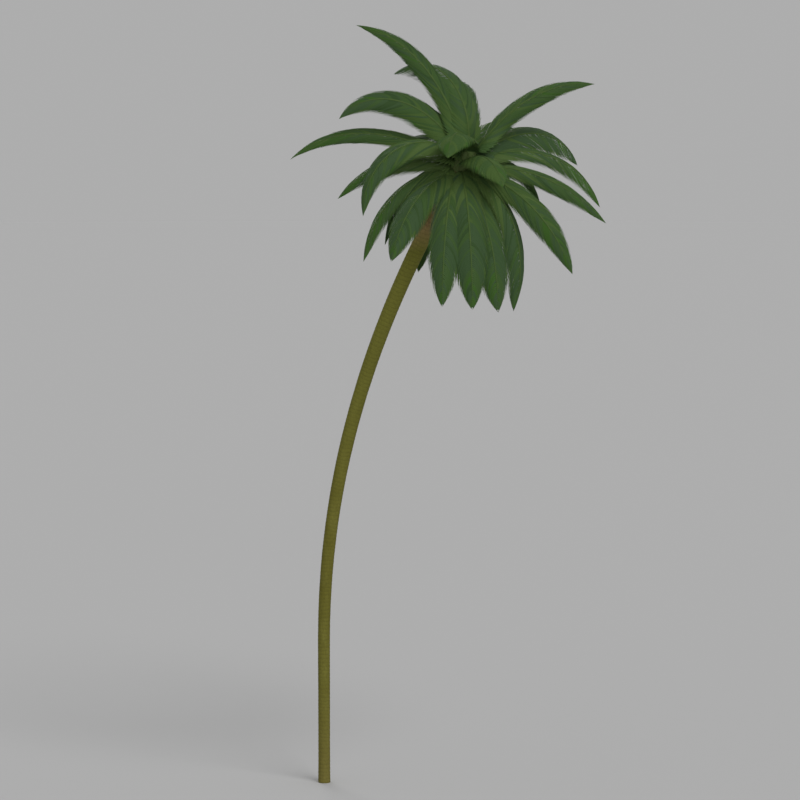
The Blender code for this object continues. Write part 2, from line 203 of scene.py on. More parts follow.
class Stem:
    """The trunk's line and thickness, carried on above its top for the heart."""

    def __init__(self, trunk):
        self.trunk = trunk
        self.top = self.point(trunk.height)
        self.axis = self.direction(trunk.height)
        self.crown = self.top + self.axis * CROWN_CENTRE_HEIGHT

    def point(self, height):
        """The centre line at this height."""
        trunk = self.trunk
        bowed = max(height - trunk.straight_foot, 0.0) / (trunk.height - trunk.straight_foot)
        offset = trunk.lean * bowed**trunk.bow_power
        turn = trunk.lean_azimuth
        return Vector((offset * cos(turn), offset * sin(turn), height))

    def direction(self, height):
        """The way the centre line runs at this height."""
        step = 0.02
        return (self.point(height + step) - self.point(height - step)).normalized()

    def radius(self, height):
        """A slight flare at the root and a swelling under the crown."""
        trunk = self.trunk
        flare = trunk.root_flare * exp(-height / trunk.root_flare_height)
        swell = trunk.top_swelling * (height / trunk.height) ** trunk.swelling_power
        return trunk.foot_radius + flare + swell

    def on_heart(self, along, turn, proud=0.0):
        """A point on the heart's surface, along metres above the trunk's top, and its normal."""
        across = self.axis.cross(Vector((0, 1, 0))).normalized()
        other = self.axis.cross(across)
        outward = across * cos(turn) + other * sin(turn)
        share = min(max(along / HEART_LENGTH, 0.0), 1.0)
        return self.top + self.axis * along + outward * (heart_radius(share) + proud), outward

    def nearness(self, point):
        """How far a point stands off the bark or the heart, in metres."""
        over = (point - self.top).dot(self.axis)
        if over > 0:
            off_axis = (point - self.top - self.axis * over).length
            return off_axis - heart_radius(min(over / HEART_LENGTH, 1.0))
        height = max(point.z, 0.0)
        aside = point - self.point(height)
        direction = self.direction(height)
        return (aside - direction * aside.dot(direction)).length - self.radius(height)


class Blade:
    """A frond's curved surface: along runs 0 to 1 from root to tip, reach 0 to 1 from the rib
    to the margin, and side is 1 on the left of the rib and -1 on its right."""

    STEPS = 96

    def __init__(self, frond, stem):
        self.frond = frond
        outward = Vector((cos(radians(frond.azimuth)), sin(radians(frond.azimuth)), 0))
        outward = (outward - stem.axis * outward.dot(stem.axis)).normalized()
        self.outward = outward
        point = stem.crown + stem.axis * frond.seat + outward * STALK_START
        self.points = [point.copy()]
        for step in range(self.STEPS):
            heading = self.heading((step + 0.5) / self.STEPS)
            point = point + heading * (frond.length / self.STEPS)
            self.points.append(point.copy())

    def heading(self, along):
        """The way the rib runs, as a unit vector."""
        frond = self.frond
        slope = radians(frond.rise - frond.droop * max(along, 0.0) ** frond.bend)
        turn = radians(frond.azimuth)
        return Vector((cos(slope) * cos(turn), cos(slope) * sin(turn), sin(slope)))

    def frame(self, along):
        """The rib's point, and the unit vectors to the blade's left and out of its upper face."""
        place = min(max(along, 0.0), 1.0) * self.STEPS
        step = min(int(place), self.STEPS - 1)
        point = self.points[step].lerp(self.points[step + 1], place - step)
        heading = self.heading(along)
        turn = radians(self.frond.azimuth)
        left = Vector((-sin(turn), cos(turn), 0))
        up = heading.cross(left)
        roll = radians(self.frond.roll) * smooth_step(along / ROLL_START)
        return (
            point,
            left * cos(roll) + up * sin(roll),
            up * cos(roll) - left * sin(roll),
        )

    def half_width(self, along):
        """Half the blade's width, measured over its curve."""
        peak = self.frond.peak
        filled = smooth_step(along / peak) ** FILL_POWER
        past = max(along - peak, 0.0) / (1 - peak)
        closing = max(1 - past**SHOULDER_POWER, 0.0) ** TIP_POWER
        half = self.frond.width / 2 * (BLADE_BASE_SHARE + (1 - BLADE_BASE_SHARE) * filled) * closing
        basal = 1 - smooth_step(along / BASAL_END)
        return half + max(BASAL_BREADTH - half, 0.0) * basal

    def place(self, along, side, reach, aside, lift):
        """A point of the blade and its normal. The blade is arched across like a gutter turned
        over, and the point is moved aside from the rib and lifted by these metres."""
        point, left, up = self.frame(along)
        outward = left * side
        start = radians(RIB_CAMBER)
        bend = radians(MARGIN_CAMBER)
        lean = start + bend * reach
        width = self.half_width(along)
        out = (sin(lean) - sin(start)) / bend * width
        drop = (cos(start) - cos(lean)) / bend * width
        face = up * cos(lean) + outward * sin(lean)
        return point + outward * (out + aside) + up * (lift - drop), face


def at_end(root):
    """0 for most leaflets, and up to 1 for the last, which turn towards the frond's end."""
    return smooth_step((root - END_FROM) / END_SPAN)


def forward(root, reach):
    """How far along the frond a leaflet rooted at root has got, at this share of its way out."""
    sweep = FIRST_SWEEP + (1 - FIRST_SWEEP) * smooth_step(root / FULL_SWEEP_FROM)
    sweep = sweep - BASAL_SPREAD * (1 - smooth_step(root / FIRST_LEAFLET / 2))
    to_end = LEAFLET_REACH + (END_REACH - LEAFLET_REACH) * at_end(root)
    return root + to_end * (1 - root) * sweep * reach**LEAFLET_CURVE


# Node trees


class Field:
    """A value in a node tree, so that sums with it are written as sums."""

    def __init__(self, tree, socket):
        self.tree = tree
        self.socket = socket

    def __add__(self, other):
        return self.tree.math("ADD", self, other)

    def __sub__(self, other):
        return self.tree.math("SUBTRACT", self, other)

    def __rsub__(self, other):
        return self.tree.math("SUBTRACT", other, self)

    def __mul__(self, other):
        return self.tree.math("MULTIPLY", self, other)

    def __truediv__(self, other):
        return self.tree.math("DIVIDE", self, other)

    def __pow__(self, other):
        return self.tree.math("POWER", self, other)


class Builder:
    """Makes and links the nodes of a tree."""

    def __init__(self, tree):
        self.nodes = tree.nodes
        self.links = tree.links

    def node(self, kind, inputs=None, **settings):
        """A node with its settings made, and its inputs linked or set."""
        node = self.nodes.new(kind)
        for name, value in settings.items():
            setattr(node, name, value)
        for name, value in (inputs or {}).items():
            self.fill(node.inputs[name], value)
        return node

    def fill(self, socket, value):
        """Link a socket to another one, or set its value."""
        if isinstance(value, Field):
            value = value.socket
        if isinstance(value, bpy.types.NodeSocket):
            self.links.new(value, socket)
        else:
            socket.default_value = value


class Tree(Builder):
    """A geometry node tree that is being built. Each input is (name, socket type, default)."""

    def __init__(self, name, inputs):
        self.group = bpy.data.node_groups.new(name, "GeometryNodeTree")
        super().__init__(self.group)
        self.group.is_modifier = True
        face = self.group.interface
        face.new_socket(name="Geometry", in_out="INPUT", socket_type="NodeSocketGeometry")
        face.new_socket(name="Geometry", in_out="OUTPUT", socket_type="NodeSocketGeometry")
        for label, kind, value in inputs:
            socket = face.new_socket(name=label, in_out="INPUT", socket_type="NodeSocket" + kind)
            if value is not None:
                socket.default_value = value
        self.start = self.node("NodeGroupInput")
        self.end = self.node("NodeGroupOutput")

    def given(self, name):
        """One of the tree's own inputs."""
        return Field(self, self.start.outputs[name])

    def made(self, kind, inputs=None, output=0, **settings):
        """What a new node gives."""
        return Field(self, self.node(kind, inputs, **settings).outputs[output])

    def math(self, operation, *values):
        return self.made("ShaderNodeMath", dict(enumerate(values)), operation=operation)

    def vector(self, operation, *values):
        return self.made("ShaderNodeVectorMath", dict(enumerate(values)), operation=operation)

    def unit(self, operation, *values):
        """What the operation gives, made one long."""
        return self.vector("NORMALIZE", self.vector(operation, *values))

    def scaled(self, vector, size):
        inputs = {"Vector": vector, "Scale": size}
        return self.made("ShaderNodeVectorMath", inputs, operation="SCALE")

    def combined(self, x, y, z):
        return self.made("ShaderNodeCombineXYZ", {"X": x, "Y": y, "Z": z})

    def parts(self, vector):
        node = self.node("ShaderNodeSeparateXYZ", {"Vector": vector})
        return [Field(self, node.outputs[name]) for name in "XYZ"]

    def noise(self, vector, detail):
        """Noise from -0.5 to 0.5."""
        inputs = {"Vector": vector, "Scale": 1.0, "Detail": detail}
        return self.made("ShaderNodeTexNoise", inputs, "Fac") - 0.5

    def position(self):
        return self.made("GeometryNodeInputPosition")

    def stored(self, geometry, name, value, data_type="FLOAT"):
        inputs = {"Geometry": geometry, "Name": name, "Value": value}
        return self.made(
            "GeometryNodeStoreNamedAttribute", inputs, data_type=data_type, domain="POINT"
        )

    def named(self, name, data_type="FLOAT"):
        inputs = {"Name": name}
        return self.made("GeometryNodeInputNamedAttribute", inputs, "Attribute", data_type=data_type)

    def finish(self, geometry, materials, shade=None):
        """End the tree: realize, set the first material, and the others where shade is nearest
        to their number."""
        geometry = self.made("GeometryNodeRealizeInstances", {"Geometry": geometry})
        for number, material in enumerate(materials):
            inputs = {"Geometry": geometry, "Material": self.given(material)}
            if number:
                compared = {"A": shade, "B": float(number), "Epsilon": 0.51}
                inputs["Selection"] = self.made(
                    "FunctionNodeCompare", compared, operation="EQUAL", data_type="FLOAT"
                )
            geometry = self.made("GeometryNodeSetMaterial", inputs)
        self.links.new(geometry.socket, self.end.inputs["Geometry"])
        return self.group


def swept_tree(name, materials):
    """Sweeps a section along every line of a mesh. The lines' points carry the section's frame
    (left, face) and its sizes: wide, deep, and arch, by which its sides fall below its middle."""
    inputs = [("Sides", "Int", 4), ("Upper Share", "Float", 1.0), ("Smooth", "Bool", True)]
    tree = Tree(name, inputs + [(material, "Material", None) for material in materials])
    lines = tree.made("GeometryNodeMeshToCurve", {"Mesh": tree.given("Geometry")})
    lines = tree.stored(lines, "centre", tree.position(), "FLOAT_VECTOR")
    ring = tree.made(
        "GeometryNodeCurvePrimitiveCircle", {"Resolution": tree.given("Sides"), "Radius": 1.0}
    )
    ring = tree.stored(ring, "section", tree.position(), "FLOAT_VECTOR")
    tube = tree.made(
        "GeometryNodeCurveToMesh", {"Curve": lines, "Profile Curve": ring, "Fill Caps": True}
    )
    x, y, _ = tree.parts(tree.named("section", "FLOAT_VECTOR"))
    over = tree.math("MAXIMUM", y, 0.0) * tree.given("Upper Share")
    height = (over + tree.math("MINIMUM", y, 0.0)) * tree.named("deep")
    height = height - x * x * tree.named("arch")
    place = tree.vector(
        "ADD",
        tree.scaled(tree.named("left", "FLOAT_VECTOR"), x * tree.named("wide")),
        tree.scaled(tree.named("face", "FLOAT_VECTOR"), height),
    )
    place = tree.vector("ADD", place, tree.named("centre", "FLOAT_VECTOR"))
    shape = tree.made("GeometryNodeSetPosition", {"Geometry": tube, "Position": place})
    smooth = {"Geometry": shape, "Shade Smooth": tree.given("Smooth")}
    shape = tree.made("GeometryNodeSetShadeSmooth", smooth)
    return tree.finish(shape, materials, tree.named("shade"))


def numbers(settings):
    """The sizes and counts of a group of settings, as a tree's inputs."""
    kinds = {"FLOAT": "Float", "INT": "Int"}
    return [
        (prop.name, kinds[prop.type], getattr(settings, prop.identifier))
        for prop in settings.bl_rna.properties
        if prop.type in kinds and not prop.is_array
    ]


def trunk_tree(trunk):
    """A column that follows the trunk's rule, with ring scars, fissures and uneven bark. Its
    inputs are the trunk's settings."""
    extra = [("Seed", "Float", 3.0), ("Bark", "Material", None)]
    tree = Tree("Ringed trunk", numbers(trunk) + extra)
    given = tree.given
    column = tree.made("GeometryNodeMeshCylinder", {
        "Vertices": given("Sides"),
        "Side Segments": given("Rows"),
        "Radius": 1.0,
        "Depth": given("Height"),
    })
    x, y, z = tree.parts(tree.position())
    height = z + given("Height") / 2.0
    rest = given("Height") - given("Straight Foot")
    bowed = tree.math("MAXIMUM", height - given("Straight Foot"), 0.0) / rest
    offset = given("Lean") * bowed ** given("Bow")
    slope = given("Lean") * given("Bow") * bowed ** (given("Bow") - 1.0) / rest
    turn = given("Lean Direction")
    way = tree.combined(tree.math("COSINE", turn), tree.math("SINE", turn), 0.0)
    centre = tree.vector("ADD", tree.scaled(way, offset), tree.combined(0.0, 0.0, height))
    direction = tree.unit("ADD", tree.scaled(way, slope), (0.0, 0.0, 1.0))
    across = tree.unit("CROSS_PRODUCT", direction, (0.0, 1.0, 0.0))
    other = tree.vector("CROSS_PRODUCT", direction, across)
    outward = tree.vector("ADD", tree.scaled(across, x), tree.scaled(other, y))
    flare = given("Root Flare") * tree.math("EXPONENT", height / given("Flare Height") * -1.0)
    swell = given("Top Swelling") * (height / given("Height")) ** given("Swelling Power")
    radius = given("Foot Radius") + flare + swell

    def bark_noise(often, number, detail=2.0):
        """Noise over the bark. Each has a number of its own, which shifts it by the seed."""
        lengthwise = height * often[1] + given("Seed") * number
        return tree.noise(tree.combined(x * often[0], y * often[0], lengthwise), detail)

    # Leaf scars ring the trunk, each a little tilted and waved. Between them the bark bulges.
    phase = height / given("Ring Spacing") + bark_noise(RING_WAVES, 1.0) * WAVE_DEPTH
    saw = tree.math("FRACT", phase)
    on_scar = 1.0 - tree.math("ABSOLUTE", saw - 0.5) * 2.0
    scar = tree.math("EXPONENT", on_scar * on_scar * -SCAR_SHARPNESS)
    # Fissures are noise drawn out lengthwise, and the unevenness is slow and broad
    fissure = tree.math("MINIMUM", bark_noise(FISSURES, 2.0, 4.0) * FISSURE_GAIN, FISSURE_TOP)
    relief = (saw - RING_LEVEL) * given("Ring Relief") - scar * given("Ring Relief")
    relief = relief + fissure * given("Fissure Relief")
    relief = relief + bark_noise(BULGES, 3.0) * given("Unevenness")
    place = tree.vector("ADD", centre, tree.scaled(outward, radius + relief))
    shape = tree.stored(tree.stored(column, "scar", scar), "ring", saw)
    shape = tree.made("GeometryNodeSetPosition", {"Geometry": shape, "Position": place})
    return tree.finish(tree.made("GeometryNodeSetShadeSmooth", {"Geometry": shape}), ["Bark"])


def added(name, data):
    """A new object in the scene."""
    thing = bpy.data.objects.new(name, data)
    bpy.context.scene.collection.objects.link(thing)
    return thing


def grow(name, group, values, lines=None):
    """Run a node tree and keep its result as a plain mesh object."""
    piece = added(name, lines or bpy.data.meshes.new(name))
    modifier = piece.modifiers.new(name, "NODES")
    modifier.node_group = group
    for item in group.interface.items_tree:
        if item.item_type == "SOCKET" and item.in_out == "INPUT" and item.name in values:
            modifier[item.identifier] = values[item.name]
    graph = bpy.context.evaluated_depsgraph_get()
    result = bpy.data.meshes.new_from_object(
        piece.evaluated_get(graph), preserve_all_data_layers=True, depsgraph=graph
    )
    piece.modifiers.remove(modifier)
    piece.data = result
    result.name = name
    if not result.polygons:
        raise RuntimeError(f"{name} came out with no faces")
    return piece


class Lines:
    """Lines for swept_tree, gathered station by station."""

    VECTORS = ("left", "face")
    NUMBERS = ("wide", "deep", "arch", "shade")

    def __init__(self):
        self.points = []
        self.edges = []
        self.values = {name: [] for name in self.VECTORS + self.NUMBERS}

    def add(self, stations, shades=None):
        """One line. Each station is (point, face, wide, deep, arch), and shades has its green."""
        last = len(stations) - 1
        for index, (point, face, *sizes) in enumerate(stations):
            heading = stations[min(index + 1, last)][0] - stations[max(index - 1, 0)][0]
            left = face.cross(heading).normalized()
            if index:
                self.edges.append((len(self.points) - 1, len(self.points)))
            self.points.append(point)
            self.values["left"].extend(left)
            self.values["face"].extend(heading.cross(left).normalized())
            sizes.append(shades[index] if shades else 0)
            for name, value in zip(self.NUMBERS, sizes):
                self.values[name].append(value)

    def mesh(self, name):
        mesh = bpy.data.meshes.new(name)
        mesh.from_pydata(self.points, self.edges, [])
        for name in self.VECTORS:
            layer = mesh.attributes.new(name, "FLOAT_VECTOR", "POINT")
            layer.data.foreach_set("vector", self.values[name])
        for name in self.NUMBERS:
            layer = mesh.attributes.new(name, "FLOAT", "POINT")
            layer.data.foreach_set("value", self.values[name])
        return mesh


# Finishes


class Finish(Builder):
    """A material that is being built on its Principled shader."""

    def __init__(self, name, specular):
        self.material = bpy.data.materials.new(name)
        self.material.use_nodes = True
        super().__init__(self.material.node_tree)
        self.shader = self.nodes["Principled BSDF"]
        self.shader.inputs["Specular IOR Level"].default_value = specular

    def plain(self, colour, roughness):
        """One colour and one roughness all over."""
        self.shader.inputs["Base Color"].default_value = (*colour, 1)
        self.shader.inputs["Roughness"].default_value = roughness
        return self.material

    def coordinates(self, stretch):
        """Object coordinates, drawn out by stretch."""
        source = self.node("ShaderNodeTexCoord").outputs["Object"]
        return self.node("ShaderNodeMapping", {"Vector": source, "Scale": stretch}).outputs[0]

    def noise(self, stretch, scale, detail=3.0, roughness=0.55):
        return self.node("ShaderNodeTexNoise", {
            "Vector": self.coordinates(stretch),
            "Scale": scale,
            "Detail": detail,
            "Roughness": roughness,
        }).outputs["Fac"]

    def cracks(self, stretch, scale, width=0.07):
        """1 along the seams of a broken pattern, and 0 off them."""
        seams = self.node(
            "ShaderNodeTexVoronoi", {"Vector": self.coordinates(stretch), "Scale": scale},
            feature="DISTANCE_TO_EDGE",
        )
        return self.spread(seams.outputs["Distance"], 0.0, width, 1.0, 0.0)

    def spread(self, value, low=0.35, high=0.65, to_low=0.0, to_high=1.0):
        """The value's range from low to high, spread over another range. Noise keeps mostly
        between the first two."""
        return self.node("ShaderNodeMapRange", {
            "Value": value,
            "From Min": low,
            "From Max": high,
            "To Min": to_low,
            "To Max": to_high,
        }).outputs[0]

    def times(self, first, second):
        return self.node("ShaderNodeMath", {0: first, 1: second}, operation="MULTIPLY").outputs[0]

    def mixed(self, share, first, second):
        """Two colours mixed by share."""
        node = self.node("ShaderNodeMix", data_type="RGBA")
        self.fill(node.inputs["Factor"], share)
        for name, colour in (("A", first), ("B", second)):
            socket = next(s for s in node.inputs if s.name == name and s.type == "RGBA")
            self.fill(socket, colour if isinstance(colour, bpy.types.NodeSocket) else (*colour, 1))
        return next(s for s in node.outputs if s.type == "RGBA")

    def attribute(self, name):
        node = self.node("ShaderNodeAttribute", attribute_type="GEOMETRY", attribute_name=name)
        return node.outputs["Fac"]

    def height(self):
        source = self.node("ShaderNodeTexCoord").outputs["Object"]
        return self.node("ShaderNodeSeparateXYZ", {"Vector": source}).outputs["Z"]

    def worked(self, colour, grain, roughness, relief, distance, strength):
        """A colour that varies, roughness that follows the grain, and the relief as bump."""
        node = self.node(
            "ShaderNodeBump", {"Height": relief, "Distance": distance, "Strength": strength}
        )
        self.links.new(colour, self.shader.inputs["Base Color"])
        self.links.new(self.spread(grain, 0.3, 0.7, *roughness), self.shader.inputs["Roughness"])
        self.links.new(node.outputs["Normal"], self.shader.inputs["Normal"])
        return self.material


def bark_finish(trunk):
    """Olive bark, browner at its foot and under the crown, greener between, with darker scars
    and pale patches. Under the crown it is also made lighter, as painted light against the
    crown's shade."""
    finish = Finish("bark", 0.06)
    height = finish.height()
    patches = finish.noise((1, 1, 0.35), 5.0)
    grain = finish.noise((1, 1, 0.2), 70.0, 6.0, 0.65)
    cracks = finish.cracks((1, 1, 0.07), 55.0)
    crown = (trunk.height - CROWN_BARK_AND_LIGHT[0], trunk.height - CROWN_BARK_AND_LIGHT[1])
    layers = (
        (finish.spread(patches), trunk.bark_pale),
        (finish.spread(height, *HIGH_BARK, 0.0, 0.8), trunk.bark_high),
        (finish.spread(height, FOOT_BARK_TOP, 0.0, 0.0, 0.55), trunk.bark_foot),
        # The orange-brown top: its own colour, made lighter as painted light against the crown's
        # shade
        (finish.spread(height, *crown), trunk.bark_crown),
        (finish.spread(grain, 0.45, 0.7, 0.0, 0.35), trunk.bark_dark),
        (finish.times(cracks, 0.22), trunk.bark_dark),
        (finish.spread(finish.attribute("ring"), 0.0, 1.0, 0.12, 0.0), trunk.bark_dark),
        (finish.times(finish.attribute("scar"), 0.25), trunk.bark_dark),
    )
    colour = trunk.bark
    for share, over in layers:
        colour = finish.mixed(share, colour, over)
    relief = finish.mixed(finish.times(cracks, 0.4), grain, (0, 0, 0))
    return finish.worked(colour, patches, (0.68, 0.9), relief, 0.006, 0.8)


def fibre_finish(heart, foot):
    """Coarse fibre, brown at the heart's foot and dark green where the young leaves sheathe it.
    Its brown is made lighter than its own, as painted light against the crown's shade.
    """
    finish = Finish("heart_fibre", 0.1)
    strands = finish.noise((1, 1, 0.2), 60.0, 4.0)
    brown = finish.mixed(finish.spread(strands, 0.38, 0.62), heart.fibre_dark, heart.fibre)
    green = finish.mixed(finish.spread(strands), heart.sheath_dark, heart.sheath)
    upward = finish.spread(finish.height(), foot + SHEATH[0], foot + SHEATH[1])
    colour = finish.mixed(upward, brown, green)
    return finish.worked(colour, strands, (0.78, 0.95), strands, 0.004, 0.7)


def base_finish(heart):
    """The leaf bases' pale green skin, streaked lengthwise. Its paleness is partly their own
    colour and partly painted light that lifts the shade in the crown's hollow.
    """
    finish = Finish("leaf_base", 0.1)
    streaks = finish.noise((1, 1, 0.15), 45.0, 4.0)
    colour = finish.mixed(finish.spread(streaks), heart.base, heart.base_pale)
    return finish.worked(colour, streaks, (0.5, 0.7), streaks, 0.002, 0.5)


def rib_finish(fronds):
    """The ribs' yellow-green skin, faintly blotched and grained."""
    finish = Finish("rib", 0.1)
    blotches = finish.noise((1, 1, 1), 6.0)
    colour = finish.mixed(finish.spread(blotches), fronds.rib, fronds.rib_pale)
    grain = finish.noise((1, 1, 1), 120.0)
    return finish.worked(colour, blotches, (0.45, 0.62), grain, 0.001, 0.4)


def leaf_finish(shade, colour):
    """A leaflet's plain green, with a soft waxy sheen that is duller on the darker greens."""
    return Finish("leaf_" + shade, 0.08).plain(colour, 0.6 if shade in ("deep", "cool") else 0.52)


# Settings


def Number(name, description, default, **kind):
    return FloatProperty(name=name, description=description, default=default, **kind)


def Count(name, description, default, least):
    return IntProperty(name=name, description=description, default=default, min=least)


def Colour(name, description, default):
    return FloatVectorProperty(
        name=name, description=description, default=default, subtype="COLOR", min=0, max=1
    )


Length = partial(Number, unit="LENGTH")
Share = partial(Number, min=0.0, max=2.0)
Angle = partial(Number, subtype="ANGLE")


class PalmTrunkSettings(PropertyGroup):
    """Sizes and colours of the trunk."""

    height: Length("Height", "From the ground to the heart's foot", 14.6)
    straight_foot: Length("Straight Foot", "How far up it stands before it bows", 3.5)
    lean: Length("Lean", "How far its top leans out", 3.41)
    lean_azimuth: Angle("Lean Direction", "The way it leans, from +X", radians(-30))
    bow_power: Number("Bow", "How late it bows", 2.05)
    foot_radius: Length("Foot Radius", "Radius above the root flare", 0.146)
    root_flare: Length("Root Flare", "Radius that the flare adds at the ground", 0.008)
    root_flare_height: Length("Flare Height", "How far up the flare fades", 0.35)
    top_swelling: Length("Top Swelling", "Radius added under the heart", 0.055)
    swelling_power: Number("Swelling Power", "How late it swells", 1.9)
    ring_spacing: Length("Ring Spacing", "From one leaf scar to the next", 0.095)
    ring_relief: Length("Ring Relief", "How deep the scars are", 0.004)
    fissure_relief: Length("Fissure Relief", "How deep the fissures are", 0.004)
    unevenness: Length("Unevenness", "Broad swellings of the bark", 0.006)
    sides: Count("Sides", "Faces round the trunk", 52, 12)
    rows: Count("Rows", "Faces up the trunk", 1700, 100)
    bark: Colour("Bark", "Most of the bark", (0.148, 0.137, 0.022))
    bark_pale: Colour("Pale Bark", "Its paler patches", (0.182, 0.172, 0.034))
    bark_high: Colour("High Bark", "The greener bark of the upper half", (0.216, 0.218, 0.040))
    bark_dark: Colour("Dark Bark", "Scars and fissures", (0.052, 0.046, 0.014))
    bark_foot: Colour("Foot", "The browner foot", (0.205, 0.168, 0.050))
    # Its own orange-brown, made lighter as painted light against the crown's shade
    bark_crown: Colour("Under the Crown", "The orange-brown top", (0.560, 0.365, 0.185))


class PalmHeartSettings(PropertyGroup):
    """Sizes and colours of the heart and the leaf bases round it."""

    base_length: Length("Base Length", "How far a leaf base reaches down the heart", 0.45)
    base_width: Length("Base Width", "Half a leaf base's width at its foot", 0.150)
    base_depth: Length("Base Depth", "Half a leaf base's thickness", 0.020)
    strands: Count("Strands", "Loose fibres round it", 260, 0)
    strand_radius: Length("Strand Radius", "Radius of a fibre", 0.0035)
    # Both fibre browns are their own colour made lighter, as painted light against the crown's shade
    fibre: Colour("Fibre", "The fibres' brown", (0.460, 0.285, 0.140))
    fibre_dark: Colour("Dark Fibre", "Between the fibres", (0.180, 0.110, 0.056))
    sheath: Colour("Sheath", "The green of the heart's upper part", (0.100, 0.150, 0.044))
    sheath_dark: Colour("Dark Sheath", "Its creases", (0.055, 0.084, 0.026))
    # Both leaf-base greens are partly their own and partly painted light, lifting the shade in the
    # crown's hollow
    base: Colour("Leaf Base", "The green of the leaf bases", (0.085, 0.130, 0.038))
    base_pale: Colour("Pale Leaf Base", "Their paler streaks", (0.125, 0.175, 0.058))


class PalmFrondSettings(PropertyGroup):
    """Sizes and colours of the ribs and leaflets."""

    spacing: Length("Spacing", "From one leaflet to the next along a rib", 0.043)
    overlap: Share("Overlap", "A leaflet's width as a share of the room it has", 1.4)
    thickness: Length("Thickness", "Half a leaflet's thickness at its middle", 0.0022)
    fold: Share("Fold", "How far a leaflet's margins fold down, by its half width", 0.35)
    tilt: Angle("Tilt", "How far each leaflet turns under the next", radians(13))
    bark_clearance: Length("Clearance", "Least gap to the trunk and the heart", 0.03)
    rib_base: Length("Rib Base", "Half a rib's width at its root", 0.075)
    rib: Colour("Rib", "The ribs", (0.054, 0.098, 0.025))
    rib_pale: Colour("Pale Rib", "Their paler blotches", (0.070, 0.116, 0.029))
    deep: Colour("Deep Green", "Shaded leaflets", (0.038, 0.076, 0.024))
    cool: Colour("Cool Green", "Bluish leaflets", (0.047, 0.089, 0.034))
    mid: Colour("Mid Green", "Most leaflets", (0.050, 0.098, 0.027))
    light: Colour("Light Green", "Young and sunlit leaflets", (0.063, 0.113, 0.028))
    bright: Colour("Bright Green", "Leaflets at the tips", (0.046, 0.108, 0.019))
    # Partly their own paler green and partly painted light, lifting the shade in the crown's hollow
    pale: Colour("Pale Green", "Lower leaflets near the heart", (0.076, 0.128, 0.034))


class PalmStageSettings(PropertyGroup):
    """The floor, the light and the camera."""

    floor_radius: Length("Floor Radius", "Radius of the round floor", 600.0)
    floor: Colour("Floor", "The floor's pale grey", (0.523, 0.523, 0.523))
    sky: Share("Sky", "Brightness of the even light all round", 0.42)
    key: Number("Key", "Strength of the key light", 1.1)
    fill: Number("Fill", "Strength of the fill light", 0.9)
    back: Number("Back", "Strength of the back light", 0.9)
    softness: Angle("Softness", "How wide the lights are", radians(30))
    lens: Number("Lens", "Focal length", 126.0, subtype="DISTANCE_CAMERA")
    camera_place: FloatVectorProperty(
        name="Camera", description="Where the camera stands",
        default=(1.8925, -68.9013, 15.6146), subtype="TRANSLATION",
    )
    camera_tilt: Angle("Tilt", "How far the camera looks down", radians(5))


SETTINGS = {
    "palm_trunk": PalmTrunkSettings,
    "palm_heart": PalmHeartSettings,
    "palm_fronds": PalmFrondSettings,
    "palm_stage": PalmStageSettings,
}


# Pieces


def seated(piece, slot, *nodes):
    """A finished piece rides on the plant's one body and stands for its nodes."""
    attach(piece, "root")
    if nodes:
        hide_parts(*nodes)


def swept(name, group, values, lines, slot, *nodes):
    """A piece that is swept along its lines."""
    seated(grow(name, group, values, lines.mesh(name)), slot, *nodes)


def nodes_of(frond):
    """The solids that hold this frond."""
    if frond.length < SHORTEST_PARTED:
        return [frond.name]
    return [frond.name + "_inner", frond.name + "_outer"]


class PALM_OT_trunk(Operator):
    """Make the trunk with its ring scars and bark"""

    bl_idname = "palm.trunk"
    bl_label = "Trunk"

    def execute(self, context):
        trunk = context.scene.palm_trunk
        values = {name: value for name, _, value in numbers(trunk)}
        values["Bark"] = bark_finish(trunk)
        seated(grow("trunk_bark", trunk_tree(trunk), values), "bark", "trunk")
        return {"FINISHED"}


